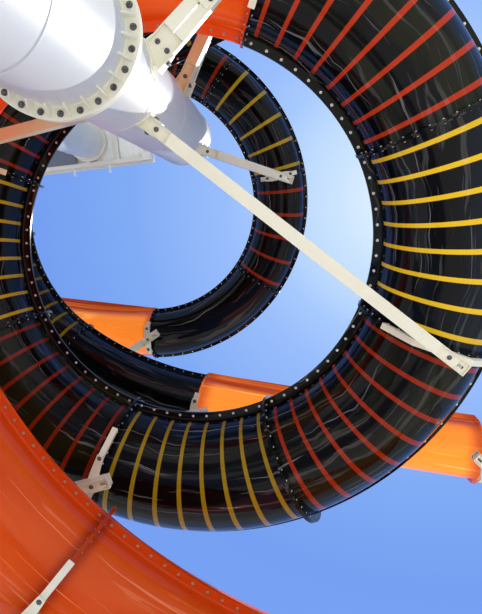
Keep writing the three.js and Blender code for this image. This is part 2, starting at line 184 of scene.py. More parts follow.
# Sides, radius, bottom, shoulder and radius on top of each part of a bolt, for a nut of size 1
WASHER = (14, 1.55, 0.0, 0.22, 1.5)
NUT = (6, 1.0, 0.22, 0.80, 0.86)
THREAD = (10, 0.55, 0.90, 1.25, 0.46)
SHOULDER = 0.12
NUT_TURN = 0.7


def bands(rings, count):
    """Faces round a stack of rings that have count corners each."""
    return [(low + k, low + (k + 1) % count, low + count + (k + 1) % count, low + count + k)
            for low in range(0, (rings - 1) * count, count) for k in range(count)]


def turned(steps, sides=96):
    """A shape with flat ends turned round an upright axis, from (radius, height) steps, bottom to top."""
    turns = 2 * math.pi * np.arange(sides) / sides
    corners = [(r * math.cos(a), r * math.sin(a), h) for r, h in steps for a in turns]
    top = tuple(range((len(steps) - 1) * sides, len(steps) * sides))
    return corners, [tuple(range(sides))[::-1], *bands(len(steps), sides), top]


def between(corners):
    """A plate from the corners of its two faces, one face after the other."""
    count = len(corners) // 2
    faces = [tuple(range(count)), tuple(range(count, 2 * count))[::-1]]
    return corners, faces + [((k + 1) % count, k, count + k, count + (k + 1) % count) for k in range(count)]


def prism(outline, thick, middle=0.0):
    """An outline in (x, z) given a thickness along y."""
    area = sum(a[0] * b[1] - b[0] * a[1] for a, b in zip(outline, outline[1:] + outline[:1]))
    loop = list(outline) if area > 0 else list(outline)[::-1]
    return between([(x, middle + side * thick / 2, z) for side in (-1, 1) for x, z in loop])


def moved(shape, matrix):
    """A shape set somewhere else."""
    return [matrix @ Vector(c) for c in shape[0]], shape[1]


def gathered(shapes):
    """Several shapes as one."""
    corners, faces = [], []
    for points, sides in shapes:
        base = len(corners)
        corners += [tuple(p) for p in points]
        faces += [tuple(base + i for i in side) for side in sides]
    return corners, faces


def turn_z(degrees, x=0.0, y=0.0, z=0.0):
    """A turn about the upright axis, then a move."""
    return Matrix.Translation((x, y, z)) @ Matrix.Rotation(math.radians(degrees), 4, "Z")


def ease_edges(piece, width, **more):
    """Bevels a piece's sharp edges."""
    edges = piece.modifiers.new("eased edges", "BEVEL")
    for key, value in dict(width=width, segments=2, limit_method="ANGLE", **more).items():
        setattr(edges, key, value)


def add_piece(name, shape, material, sharp=35.0, ease=0.0):
    """A named mesh with its material, that rides on the tower."""
    corners, faces = shape
    mesh = bpy.data.meshes.new(name)
    mesh.from_pydata([tuple(c) for c in corners], [], faces)
    mesh.materials.append(material)
    mesh.shade_smooth()
    mesh.set_sharp_from_angle(angle=math.radians(sharp))
    piece = bpy.data.objects.new(name, mesh)
    scene.collection.objects.link(piece)
    if ease:
        ease_edges(piece, ease, angle_limit=math.radians(EASED_FROM), harden_normals=True)
    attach(piece, "root")
    return piece


def weld_seam(radius, low, high, through, turn):
    """A raised bead that climbs a tube from low to high and passes the height through at turn degrees."""
    climb = SEAM["pitch"] / 360.0
    first, last = turn + (low - through) / climb, turn + (high - through) / climb
    steps = int((last - first) / SEAM["step"])
    corners = []
    for i in range(steps + 1):
        degrees = first + (last - first) * i / steps
        height = through + (degrees - turn) * climb
        east, north = math.cos(math.radians(degrees)), math.sin(math.radians(degrees))
        for along, out in SEAM_BEAD:
            r = radius - SEAM["sunk"] + out * SEAM["height"]
            corners.append((r * east, r * north, height + along * SEAM["width"]))
    count = len(SEAM_BEAD)
    faces = [(i * count + k, (i + 1) * count + k, (i + 1) * count + k + 1, i * count + k + 1)
             for i in range(steps) for k in range(count - 1)]
    return corners, faces


def fasteners(name, spots, size, material):
    """Hexagon nuts on washers; each spot is a place and the way that its nut faces. The large ones show
    the end of their thread."""
    parts = (WASHER, NUT, THREAD) if size >= HEAD else (WASHER, NUT)
    stacked = [turned([(radius, low), (radius, high), (neck, high + SHOULDER)], count)
               for count, radius, low, high, neck in parts]
    template, sides = gathered([(corners, faces[1:]) for corners, faces in stacked])
    template = np.array(template) * size
    shapes = []
    for i, (place, facing) in enumerate(spots):
        upright = Vector(facing).normalized().to_track_quat("Z", "Y").to_matrix()
        turn = np.array(upright @ Matrix.Rotation(NUT_TURN * i, 3, "Z"))
        shapes.append((template @ turn.T + np.array(place), sides))
    return add_piece(name, gathered(shapes), material, sharp=30.0)


def new_effect(name, inputs, outputs):
    """A group of nodes for several materials: the group, what comes into it and the node that it ends in."""
    effect = bpy.data.node_groups.new(name, "ShaderNodeTree")
    for way, sockets in (("INPUT", inputs), ("OUTPUT", outputs)):
        for socket, kind in sockets.items():
            effect.interface.new_socket(socket, in_out=way, socket_type="NodeSocket" + kind)
    return effect, wire(effect, "NodeGroupInput").outputs, wire(effect, "NodeGroupOutput")


def noise(tree, place, scale, detail, **more):
    """The strength of a noise at each place."""
    inputs = {"Vector": place, "Scale": scale, "Detail": detail, **more}
    return wire(tree, "ShaderNodeTexNoise", inputs).outputs["Fac"]


def bumped(tree, height, strength, distance):
    """The surface's normal with a height pressed into it."""
    inputs = {"Strength": strength, "Distance": distance, "Height": height}
    return wire(tree, "ShaderNodeBump", inputs).outputs[0]


# Sprayed steel paint: slow mottling, rain streaks down the upright faces and a fine orange peel
paint_effect, mottle_in, mottle_out = new_effect(
    "paint mottle", {"Colour": "Color", "Grime colour": "Color", "Size": "Float"},
    {"Colour": "Color", "Roughness": "Float", "Height": "Float"})
paint_place = wire(paint_effect, "ShaderNodeTexCoord").outputs["Object"]
drawn_down = wire(paint_effect, "ShaderNodeMapping", {"Vector": paint_place, "Scale": (9.0, 9.0, 0.35)})
mottle = noise(paint_effect, paint_place, mottle_in["Size"], 6.0)
rain = noise(paint_effect, drawn_down.outputs[0], 1.0, 4.0)
grimy = sums(paint_effect, "MAXIMUM", ramp(paint_effect, mottle, 0.48, 0.75, 0.0, 0.35),
             ramp(paint_effect, rain, 0.55, 0.75, 0.0, 0.22))
feed(paint_effect, mottle_out, {
    "Colour": blend_colour(paint_effect, grimy, mottle_in["Colour"], mottle_in["Grime colour"]),
    "Roughness": ramp(paint_effect, mottle, 0.0, 1.0, 0.30, 0.50),
    "Height": noise(paint_effect, paint_place, 90.0, 2.0),
})


def painted_steel(name, colour, grime_colour, size):
    """Steel under sprayed paint, with the paint effect at its own size."""
    material, tree, shader = new_material(name)
    effect = wire(tree, "ShaderNodeGroup", {"Colour": colour, "Grime colour": grime_colour, "Size": size},
                  node_tree=paint_effect).outputs
    feed(tree, shader, {"Base Color": effect["Colour"], "Roughness": effect["Roughness"],
                        "Normal": bumped(tree, effect["Height"], 0.12, 0.002)})
    return material


def plated_steel(name, bright, dull, roughness):
    """Zinc-plated steel, with a dull bloom in patches."""
    material, tree, shader = new_material(name)
    bloom = noise(tree, wire(tree, "ShaderNodeTexCoord").outputs["Object"], 60.0, 3.0)
    feed(tree, shader, {
        "Base Color": blend_colour(tree, ramp(tree, bloom, 0.4, 0.62), bright, dull),
        "Roughness": ramp(tree, bloom, 0.0, 1.0, roughness - 0.1, roughness + 0.15),
        "Metallic": 0.55,
    })
    return material


white_paint = painted_steel("white column paint", (0.765, 0.795, 0.755), (0.60, 0.61, 0.58), 0.9)
cream_paint = painted_steel("cream arm paint", (0.92, 0.90, 0.71), (0.72, 0.68, 0.50), 2.5)
bright_zinc = plated_steel("bright zinc", (0.86, 0.86, 0.84), (0.62, 0.60, 0.56), 0.4)
dark_zinc = plated_steel("weathered zinc", (0.20, 0.19, 0.20), (0.08, 0.075, 0.08), 0.5)


def foot_steps(column, weld):
    """A base plate and the weld round the shaft on it, as steps for turning."""
    foot, plate, radius = column["foot"], column["foot_plate"], column["radius"]
    return [(foot, 0.0), (foot, plate - EASE), (foot - EASE, plate), (radius + weld, plate),
            (radius, plate + weld)]


def foot_gussets(column, foot):
    """Upright triangular plates between a column's shaft and its base plate."""
    base, inner = column["foot_plate"] - foot["sunk"], column["radius"] - foot["inset"]
    outline = [(inner, base), (foot["reach"], base), (foot["reach"], base + foot["edge"]),
               (column["radius"] + foot["edge"], base + foot["height"]), (inner, base + foot["height"])]
    return [moved(prism(outline, foot["thick"]), turn_z((i + 0.5) * 360 / foot["count"]))
            for i in range(foot["count"])]


def standing_tube(column, foot, steps, seam_top, weld=EASE, sides=96):
    """A column from the ground up: base plate, gussets, the shaft's steps and its weld seam."""
    shape = gathered([
        turned(foot_steps(column, weld) + steps, sides),
        weld_seam(column["radius"], SEAM["start"], seam_top, column["seam_through"], column["seam_turn"]),
        *foot_gussets(column, foot),
    ])
    return moved(shape, turn_z(0.0, column["x"], column["y"]))


def on_circle(column, height, radius, count, first=0.0):
    """Places spread evenly round a column's axis."""
    turns = [math.radians(first + i * 360.0 / count) for i in range(count)]
    return [(column["x"] + radius * math.cos(a), column["y"] + radius * math.sin(a), height) for a in turns]


def foot_anchors(name, column, foot):
    """Anchor nuts on a base plate, between its gussets."""
    places = on_circle(column, column["foot_plate"], foot["circle"], foot["count"])
    fasteners(name, [(place, (0, 0, 1)) for place in places], foot["anchor"], dark_zinc)


def ring_steps(low, high):
    """One plate of the ring flange with eased edges, as steps for turning."""
    radius = SPLICE["radius"]
    return [(radius - EASE, low), (radius, low + EASE), (radius, high - EASE), (radius - EASE, high)]


splice_low = SPLICE["height"] - SPLICE["plate"]
splice_high = SPLICE["height"] + SPLICE["gap"] + SPLICE["plate"]
shaft, rib_low = LOWER_LENGTH["radius"], splice_low - SPLICE_RIB["height"]
lower_seam_top = splice_low - LOWER_LENGTH["seam_below"]
lower = standing_tube(LOWER_LENGTH, WIDE_FOOT, [(shaft, splice_low)], lower_seam_top, 2 * EASE)
piece = add_piece("main_column_lower_tube", lower, white_paint)
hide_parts("main_column_lower")

top, crown_low = MAIN["top"], MAIN["top"] - MAIN["crown_depth"]
upper = gathered([
    turned([(MAIN["radius"], splice_high), (MAIN["radius"], crown_low - EASE), (MAIN["crown"], crown_low),
            (MAIN["crown"], top - EASE), (MAIN["crown"] - EASE, top)]),
    weld_seam(MAIN["radius"], splice_high + MAIN["seam_above"], top - MAIN["seam_below"],
              MAIN["seam_through"], MAIN["seam_turn"]),
])
piece = add_piece("main_column_upper_tube", upper, white_paint)
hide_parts("main_column_upper")

fillet, rib_in, rib_out = SPLICE_RIB["fillet"], shaft - SPLICE_RIB["sunk"], SPLICE_RIB["reach"]
rib = prism([(rib_in, splice_low), (rib_out, splice_low), (rib_out, splice_low - SPLICE_RIB["lip"]),
             (shaft + fillet, rib_low), (rib_in, rib_low)], SPLICE_RIB["thick"])
bolt_step = 360.0 / SPLICE_BOLTS["count"]
between_bolts = [SPLICE_BOLTS["first"] + (i + 0.5) * bolt_step for i in range(SPLICE_BOLTS["count"])]
ring = gathered([
    turned(ring_steps(splice_low, SPLICE["height"])),
    turned([(shaft, splice_low - fillet), (shaft + fillet, splice_low)]),
    turned(ring_steps(SPLICE["height"] + SPLICE["gap"], splice_high)),
    *[moved(rib, turn_z(turn)) for turn in between_bolts],
])
add_piece("main_column_ring_flange", ring, cream_paint)
ring_spots = [(place, (0, 0, way)) for way, height in ((-1, splice_low), (1, splice_high))
              for place in on_circle(MAIN, height, **SPLICE_BOLTS)]
fasteners("ring_flange_bolts", ring_spots, HEAD, dark_zinc)
foot_anchors("main_foot_anchors", LOWER_LENGTH, WIDE_FOOT)


# The two slim outer columns: plain white tube with a cap plate and a bolted base plate. A shallow
# groove shows where each cap is welded on.
SLIM = dict(radius=0.250, foot=0.400, foot_plate=0.030, seam_through=3.1, seam_turn=60.0, seam_below=0.05)
SIDE_COLUMNS = {
    "left": dict(SLIM, x=-2.876, y=4.700, top=11.200),
    "right": dict(SLIM, x=5.824, y=5.900, top=9.000),
}
SLIM_FOOT = dict(WIDE_FOOT, count=8, reach=0.380, height=0.150, thick=0.012, circle=0.340, anchor=0.018)
CAP_GROOVE = ((0.0, 0.024), (EASE, 0.022), (EASE, 0.018), (0.0, 0.016), (0.0, EASE), (EASE, 0.0))
for side, column in SIDE_COLUMNS.items():
    cap = [(column["radius"] - sunk, column["top"] - below) for sunk, below in CAP_GROOVE]
    tube = standing_tube(column, SLIM_FOOT, cap, column["top"] - column["seam_below"], sides=72)
    piece = add_piece(f"{side}_column_tube", tube, white_paint)
    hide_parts(f"{side}_column")
    foot_anchors(f"{side}_foot_anchors", column, SLIM_FOOT)


# The far column: the tallest tube, painted light grey, with a bolted base plate and a round head plate
# under the start deck
FAR = dict(x=-3.516, y=-0.700, radius=0.420, top=17.300, foot=0.640, foot_plate=0.040, head=0.500,
           head_plate=0.040, seam_through=15.9, seam_turn=80.0, seam_below=0.06)
grey_paint = painted_steel("light grey paint", (0.73, 0.72, 0.62), (0.55, 0.54, 0.46), 1.2)
head, head_low = FAR["head"], FAR["top"] - FAR["head_plate"]
head_steps = [(FAR["radius"], head_low), (head - EASE, head_low), (head, head_low + EASE), (head, FAR["top"])]
far_tube = standing_tube(FAR, WIDE_FOOT, head_steps, FAR["top"] - FAR["seam_below"])
piece = add_piece("far_column_tube", far_tube, grey_paint)
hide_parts("far_column")
foot_anchors("far_foot_anchors", FAR, WIDE_FOOT)


# The start deck on it: grey steel beams under a flat deck, ribbed soffit sheets between the beams, one
# dark blue-grey panel that is painted shade under the deck, a white corner cap and two drain stubs
DECK = dict(x=-1.876, y=-0.250, turn=-6.17, width=3.300, depth=1.800, beam=0.100, bays=4, seat=0.0003)
SOFFIT = dict(low=0.090, high=0.096, rib_top=0.091, clear=0.004)
LONG_RIB = dict(parts=4, half=0.006, low=0.078)
CROSS_RIB = dict(parts=3, half=0.005, low=0.082)
SHADE_PANEL = dict(end=1.35, low=-0.012, high=-0.002)
CORNER_CAP = dict(reach=0.20, past=0.012, thick=0.006)
STUB = dict(places=(-1.105, -2.055), radius=0.028, out=0.210, sunk=0.010, height=0.050)
SHEET_EASE = 0.002
soffit_paint = painted_steel("pale soffit sheet", (0.86, 0.91, 0.85), (0.68, 0.72, 0.67), 1.5)
shade_panel_paint = painted_steel("painted shade panel", (0.10, 0.14, 0.19), (0.16, 0.19, 0.22), 2.0)
deck_frame = turn_z(DECK["turn"], DECK["x"], DECK["y"], FAR["top"] + DECK["seat"])


def block(low, high):
    """A box from its lowest to its highest corner."""
    (x0, y0, z0), (x1, y1, z1) = low, high
    corners = [(x, y, z) for z in (z0, z1) for x, y in ((x0, y0), (x1, y0), (x1, y1), (x0, y1))]
    return corners, [(3, 2, 1, 0), (4, 5, 6, 7), (0, 1, 5, 4), (1, 2, 6, 5), (2, 3, 7, 6), (3, 0, 4, 7)]


def deck_piece(name, shapes, paint, ease=SHEET_EASE):
    """A named piece of the deck, from shapes measured from its front corner."""
    add_piece(name, moved(gathered(shapes), deck_frame), paint, ease=ease)


for node in ("far_deck_frame", "far_deck"):
    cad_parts[node].data.materials.clear()
    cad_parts[node].data.materials.append(grey_paint)
    ease_edges(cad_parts[node], EASE)

bay_width = (DECK["width"] - DECK["beam"]) / DECK["bays"]
clear, rib_top = SOFFIT["clear"], SOFFIT["rib_top"]
front, back = -DECK["beam"] - clear, -DECK["depth"] + DECK["beam"] + clear
sheets = []
for i in range(DECK["bays"]):
    right = -DECK["beam"] - i * bay_width - clear
    left = right - bay_width + DECK["beam"] + 2 * clear
    sheets.append(block((left, back, SOFFIT["low"]), (right, front, SOFFIT["high"])))
    half, low = LONG_RIB["half"], LONG_RIB["low"]
    for j in range(1, LONG_RIB["parts"]):
        x = left + (right - left) * j / LONG_RIB["parts"]
        sheets.append(block((x - half, back, low), (x + half, front, rib_top)))
    half, low = CROSS_RIB["half"], CROSS_RIB["low"]
    for j in range(1, CROSS_RIB["parts"]):
        y = back + (front - back) * j / CROSS_RIB["parts"]
        sheets.append(block((left, y - half, low), (right, y + half, rib_top)))
deck_piece("deck_soffit_sheets", sheets, soffit_paint)
# A thin dark sheet under the deck that stands in for shade: painted shade
shade_panel = block((-DECK["width"] + DECK["beam"], -DECK["depth"] + DECK["beam"], SHADE_PANEL["low"]),
              (-DECK["width"] + SHADE_PANEL["end"], -DECK["beam"], SHADE_PANEL["high"]))
deck_piece("deck_painted_shade_panel", [shade_panel], shade_panel_paint)
reach, past, thick = CORNER_CAP["reach"], CORNER_CAP["past"], CORNER_CAP["thick"]
cap_plates = [block((-reach, -reach, -thick), (past, past, 0.0)),
              block((-reach, 0.0, -thick), (past, past, reach)),
              block((0.0, -reach, -thick), (past, past, reach))]
deck_piece("deck_corner_cap", cap_plates, white_paint)
stub_rod = turned([(STUB["radius"], -STUB["sunk"]), (STUB["radius"], STUB["out"])], 20)
outward_turn = Matrix.Rotation(-math.pi / 2, 4, "X")
stubs = [moved(stub_rod, Matrix.Translation((x, 0.0, STUB["height"])) @ outward_turn) for x in STUB["places"]]
deck_piece("deck_drain_stubs", stubs, white_paint, ease=0.0)


# The raft slide: a closed tube of moulded laminate. Each section is a lower and an upper half, bolted
# along the sides and to its neighbours through end flanges; the upper nine are black with see-through
# cross stripes and the last six are orange.
RAFT = dict(shell=0.650, wall=0.016, flange=0.7485, lip=0.7412, plate=0.020, ear=0.015, fillet=0.022)
HELIX = dict(x=0.429, y=1.457, radius=2.720, height=7.759, climb=0.27525)
TOP_JOINT = math.radians(244.1)
JOINT_TURN = 45.0
RAFT_BEND = HELIX["radius"] * math.radians(JOINT_TURN)
RAFT_FALL = HELIX["climb"] * math.radians(JOINT_TURN)
RAFT_BLACK = 9
RAFT_STEPS = 22
RAFT_BOLTS = dict(lip_radius=0.700, ring_radius=0.702, ring_count=36, lip_size=0.0098, ring_size=0.0070,
                  black_pitch=0.2136, orange_pitch=0.170)
CLEAR_OF_LIPS = 0.06
SEAT_GAP = 0.00015
FLANGE_EASE = 0.002


def place_on(bay, share):
    """Centre line of a bay at a share of its length: x, y, z and heading."""
    x, y, z, heading, length, turn, fall = bay
    run = length * share
    if not turn:
        return x + run * math.cos(heading), y + run * math.sin(heading), z - fall * share, heading
    radius = length / turn
    now = heading + turn * share
    east = x + radius * (math.sin(now) - math.sin(heading))
    north = y + radius * (math.cos(heading) - math.cos(now))
    return east, north, z - fall * share, now


def lay_course(start, steps):
    """Bays laid end to end, downhill from start, from (length, turn in degrees, fall) steps."""
    bays = []
    place = start
    for length, turn, fall in steps:
        bay = (*place, length, math.radians(turn), fall)
        bays.append(bay)
        place = place_on(bay, 1.0)
    return bays


raft_heading = TOP_JOINT - math.pi / 2
raft_start = (
    HELIX["x"] + HELIX["radius"] * math.cos(TOP_JOINT) - 2 * RAFT_BEND * math.cos(raft_heading),
    HELIX["y"] + HELIX["radius"] * math.sin(TOP_JOINT) - 2 * RAFT_BEND * math.sin(raft_heading),
    HELIX["height"] + HELIX["climb"] * TOP_JOINT + 2 * RAFT_FALL,
    raft_heading,
)
raft_bays = lay_course(
    raft_start,
    [(RAFT_BEND, 0.0, RAFT_FALL)] * 2
    + [(RAFT_BEND, -JOINT_TURN, RAFT_FALL)] * 10
    + [(2.360, -26.0, 0.220), (2.360, -22.5, 0.235), (2.360, -22.5, 0.235)],
)


def arc(radius, start, end, count):
    """Points of a round arc, from start to end degrees, both included."""
    turns = [math.radians(start + (end - start) * i / count) for i in range(count + 1)]
    return [(radius * math.cos(a), radius * math.sin(a)) for a in turns]


def tube_profile(size, upper_steps, lower_steps):
    """Outside, inside and flange outlines of a closed section. Its side lips blend into the round shell
    through small fillets."""
    reach = size["shell"] + size["fillet"]
    rise = size["ear"] + size["fillet"]
    centre = math.sqrt(reach ** 2 - rise ** 2)
    meet = math.degrees(math.atan2(rise, centre))
    fillet = [(centre + a, rise + b) for a, b in arc(size["fillet"], 270.0, 180.0 + meet, 4)]
    upper_right = [(size["lip"], size["ear"])] + fillet
    upper = upper_right + arc(size["shell"], meet, 180.0 - meet, upper_steps)[1:-1]
    upper += [(-a, b) for a, b in reversed(upper_right)]
    lower = [(-a, -b) for a, b in upper_right]
    lower += arc(size["shell"], 180.0 + meet, 360.0 - meet, lower_steps)[1:-1]
    lower += [(a, -b) for a, b in reversed(upper_right)]
    outside = np.array(upper + lower)
    angles = np.arctan2(outside[:, 1], outside[:, 0])
    inside = (size["shell"] - size["wall"]) * np.stack([np.cos(angles), np.sin(angles)], -1)
    return outside, inside, outside * (size["flange"] / np.hypot(*outside.T))[:, None]


def falls(bays):
    """Fall for each metre at the start and the end of every bay; neighbours share it, and the slide's
    two free ends stand upright."""
    own = [bay[6] / bay[4] for bay in bays]
    joints = [0.0] + [(a + b) / 2 for a, b in zip(own, own[1:])] + [0.0]
    return list(zip(joints, joints[1:]))


def ring_on(bay, share, outline, fall):
    """An outline set square across a bay's fall."""
    x, y, z, heading = place_on(bay, share)
    slope = fall[0] + (fall[1] - fall[0]) * share
    side = np.array([-math.sin(heading), math.cos(heading), 0.0])
    rise = np.array([slope * math.cos(heading), slope * math.sin(heading), 1.0])
    return np.array([x, y, z]) + outline[:, :1] * side + outline[:, 1:] * rise


def slide_section(name, bay, fall, size, profile, steps, start_run, material, shine=1.0, closed=True):
    """One moulded section as a closed skin. Its layout is kept on the corners, for the finish: metres
    along the slide, metres round the shell and the share of the way to the next joint, then degrees
    from the crown, whether it is outer shell, and how bright its painted stripe light and glow are."""
    outside, inside, wide = profile
    length = bay[4]
    edge, plate, bevel = SEAT_GAP / length, size["plate"] / length, FLANGE_EASE / length
    eased = wide * (1.0 - FLANGE_EASE / size["flange"])
    rings = [(edge, eased, 0.0), (edge + bevel, wide, 0.0), (plate - bevel, wide, 0.0), (plate, eased, 0.0)]
    rings += [(plate + (1.0 - 2 * plate) * i / steps, outside, 1.0) for i in range(steps + 1)]
    rings += [(1.0 - s, outline, shell) for s, outline, shell in reversed(rings[:4])]
    rings += [(edge + (1.0 - 2 * edge) * i / steps, inside, 0.5) for i in range(steps, -1, -1)]
    corners = np.concatenate([ring_on(bay, share, outline, fall) for share, outline, _ in rings])
    count, strips = len(outside), len(rings)
    runs = [start_run + share * length for share, _, _ in rings]
    round_metres = np.concatenate([[0.0], np.cumsum(np.hypot(*np.diff(outside, axis=0).T))])
    crown = 90.0 - np.degrees(np.arctan2(np.abs(outside[:, 1]), np.abs(outside[:, 0])))
    faces = []
    layout = []
    for j in range(strips):
        ahead = (j + 1) % strips
        shell = min(rings[j][2], rings[ahead][2])
        for k in range(count if closed else count - 1):
            beside = (k + 1) % count
            faces.append((j * count + k, j * count + beside, ahead * count + beside, ahead * count + k))
            low, high = round_metres[k], round_metres[k] + np.hypot(*(outside[beside] - outside[k]))
            around = ((j, low, k), (j, high, beside), (ahead, high, beside), (ahead, low, k))
            layout += [(runs[ring], metres, rings[ring][0], crown[point], shell)
                       for ring, metres, point in around]
    if not closed:
        for k, rim in ((0, range(strips)), (count - 1, range(strips - 1, -1, -1))):
            faces.append([j * count + k for j in rim])
            layout += [(runs[j], round_metres[k], rings[j][0], 90.0, 0.0) for j in rim]
    piece = add_piece(name, (corners, faces), material)
    layout = np.array([(*values, shine) for values in layout], np.float32)
    for label, values in (("run", layout[:, :3]), ("shell", layout[:, 3:])):
        kept = piece.data.attributes.new(label, "FLOAT_VECTOR", "CORNER")
        kept.data.foreach_set("vector", np.ascontiguousarray(values).ravel())
    return piece


# Laminate polished by hand is a little wavy: the lines, bands and zones along the tube are painted
# reflections of the bright ground in it. The lines also set the roughness, and the slow ripples across
# it are a bump: one effect for every slide section
reflections_and_ripples, reflections_and_ripples_in, reflections_and_ripples_out = new_effect(
    "laminate painted reflections and ripples", {"Run": "Vector", "Lines per metre": "Float", "Sway": "Float"},
    {"Lines": "Float", "Bands": "Float", "Zones": "Float", "Height": "Float"})
run_along, run_round, _ = wire(reflections_and_ripples, "ShaderNodeSeparateXYZ", {0: reflections_and_ripples_in["Run"]}).outputs
swayed = sums(reflections_and_ripples, "MULTIPLY_ADD", noise(reflections_and_ripples, reflections_and_ripples_in["Run"], 1.2, 2.5), reflections_and_ripples_in["Sway"], run_round)


def stretched_noise(along, across, detail, seed, waver=0.0):
    """Noise drawn out along the tube; along and across are cycles for each metre."""
    place = wire(reflections_and_ripples, "ShaderNodeCombineXYZ", {"X": sums(reflections_and_ripples, "MULTIPLY", run_along, along),
                                                "Y": sums(reflections_and_ripples, "MULTIPLY", swayed, across), "Z": seed})
    return noise(reflections_and_ripples, place.outputs[0], 1.0, detail, Roughness=0.55, Distortion=waver)


feed(reflections_and_ripples, reflections_and_ripples_out, {
    "Lines": ramp(reflections_and_ripples, stretched_noise(0.40, reflections_and_ripples_in["Lines per metre"], 3.0, 3.1, 0.4), 0.64, 0.69),
    "Bands": ramp(reflections_and_ripples, stretched_noise(0.60, 8.5, 4.0, 7.7, 0.8), 0.60, 0.64),
    "Zones": ramp(reflections_and_ripples, stretched_noise(0.30, 2.6, 2.0, 5.2, 0.2), 0.46, 0.58),
    "Height": stretched_noise(0.9, 2.4, 1.0, 11.3),
})

# Cross stripes: the real ones are see-through; the light through them, their fall-off towards the lips and
# their paler lines are painted
STRIPES_PER_SECTION = 8
STRIPE_WIDTH = 0.048
STRIPE_EDGE = (1.12, 0.88)
STRIPE_END = 83.0
STRIPE_END_SOFT = 1.5
STRIPE_GLOW = 0.25
STRIPE_BRIGHT_FROM = 45.0
# Degrees from the crown where the painted blue reflection of the sky along the sides rises, is whole, fades
# and ends
SKY_REFLECTION_BAND = (57.0, 64.0, 77.0, 82.0)
LIP_WHOLE = 84.0
JOINT_BAND = (0.06, 0.01)
COAT_BUMP = dict(strength=0.35, distance=0.02)
COAT_ROUGHNESS = (0.09, 0.22)
COAT_IOR = 1.25
UNLIT = (0.0, 0.0, 0.0)


def laminate(name, base, line, band, zone, side=None, stripe=None, stripes=STRIPES_PER_SECTION,
             length=RAFT_BEND, early=0.0, glow=0.0, lip=None, joint=None, lip_from=68.0, lines=26.0,
             sway=0.30):
    """Glossy gel coat over laminate, with painted reflections as lines, bands and zones along the tube and,
    where asked, a painted blue reflection of the sky along the sides, lips and ends of another tone,
    see-through cross stripes with painted light and a painted glow of sunlight shining through."""
    material, tree, shader = new_material(name)

    def times(first, second):
        return sums(tree, "MULTIPLY", first, second)

    def blend(share, under, over):
        return blend_colour(tree, share, under, over)

    run = wire(tree, "ShaderNodeAttribute", attribute_name="run").outputs["Vector"]
    shell = wire(tree, "ShaderNodeAttribute", attribute_name="shell").outputs["Vector"]
    onward = wire(tree, "ShaderNodeSeparateXYZ", {0: run}).outputs["Z"]
    crown, outer_shell, light = wire(tree, "ShaderNodeSeparateXYZ", {0: shell}).outputs
    effect = wire(tree, "ShaderNodeGroup", {"Run": run, "Lines per metre": lines, "Sway": sway},
                  node_tree=reflections_and_ripples).outputs
    colour = blend(times(effect["Zones"], 0.8), base, zone)
    colour = blend(times(effect["Bands"], 0.85), colour, band)
    on_shell = sums(tree, "GREATER_THAN", outer_shell, 0.9)
    # Painted reflection of the sky along the sides
    if side:
        inner, full, fading, outer = SKY_REFLECTION_BAND
        risen = ramp(tree, crown, inner, full, smooth=True)
        fallen = ramp(tree, crown, outer, fading, smooth=True)
        patchy = ramp(tree, effect["Bands"], 0.0, 1.0, 0.15, 1.0)
        colour = blend(times(times(times(risen, fallen), on_shell), patchy), colour, side)
    if lip:
        colour = blend(ramp(tree, crown, lip_from, LIP_WHOLE, smooth=True), colour, lip)
        near_end = sums(tree, "MINIMUM", onward, sums(tree, "SUBTRACT", 1.0, onward))
        colour = blend(ramp(tree, near_end, *JOINT_BAND, 0.0, 0.7, smooth=True), colour, joint)
    colour = blend(times(effect["Lines"], 0.7), colour, line)
    if stripe:
        cycle = sums(tree, "FRACT", sums(tree, "MULTIPLY_ADD", onward, float(stripes), early))
        away = sums(tree, "ABSOLUTE", sums(tree, "SUBTRACT", cycle, 0.5))
        half = STRIPE_WIDTH * stripes / length / 2
        across = ramp(tree, away, *[half * edge for edge in STRIPE_EDGE], smooth=True)
        short = ramp(tree, crown, STRIPE_END + STRIPE_END_SOFT, STRIPE_END - STRIPE_END_SOFT)
        mask = times(across, times(on_shell, short))
        # Painted light: stripes darker towards the lips, paler under the painted reflections, dimmed by the
        # section's painted light, and glowing as if the sun shone through them
        fade = ramp(tree, crown, STRIPE_END, STRIPE_BRIGHT_FROM, 0.45, 1.0)
        shade = blend(fade, tuple(0.35 * c for c in stripe), stripe)
        pale = times(sums(tree, "MAXIMUM", effect["Lines"], effect["Bands"]), 0.2)
        shade = blend(pale, shade, tuple(0.6 * c + 0.22 for c in stripe))
        shade = blend(light, UNLIT, shade)
        colour = blend(mask, colour, shade)
        feed(tree, shader, {"Emission Color": blend(mask, UNLIT, shade), "Emission Strength": STRIPE_GLOW})
    # A painted glow of sunlight shining through the laminate
    elif glow:
        feed(tree, shader, {"Emission Color": blend(light, UNLIT, colour), "Emission Strength": glow})
    feed(tree, shader, {
        "Base Color": colour,
        "Roughness": ramp(tree, effect["Lines"], 0.0, 1.0, *COAT_ROUGHNESS),
        "Normal": bumped(tree, effect["Height"], **COAT_BUMP),
        "IOR": COAT_IOR,
    })
    return material


RED_STRIPE = (0.54, 0.040, 0.007)
YELLOW_STRIPE = (0.72, 0.45, 0.014)


def black_laminate(name, zone, *stripes, **settings):
    """Black gel coat with painted grey reflection lines and a painted blue reflection of the sky along its
    sides.
    """
    return laminate("black laminate, " + name, (0.0025, 0.0025, 0.003), (0.22, 0.22, 0.21),
                    (0.055, 0.054, 0.047), zone, (0.010, 0.028, 0.100), *stripes, **settings)


# The zone colours are tints of the painted reflections
black_red = black_laminate("red stripes", (0.014, 0.016, 0.005), RED_STRIPE)
black_yellow = black_laminate("yellow stripes", (0.005, 0.010, 0.018), YELLOW_STRIPE)
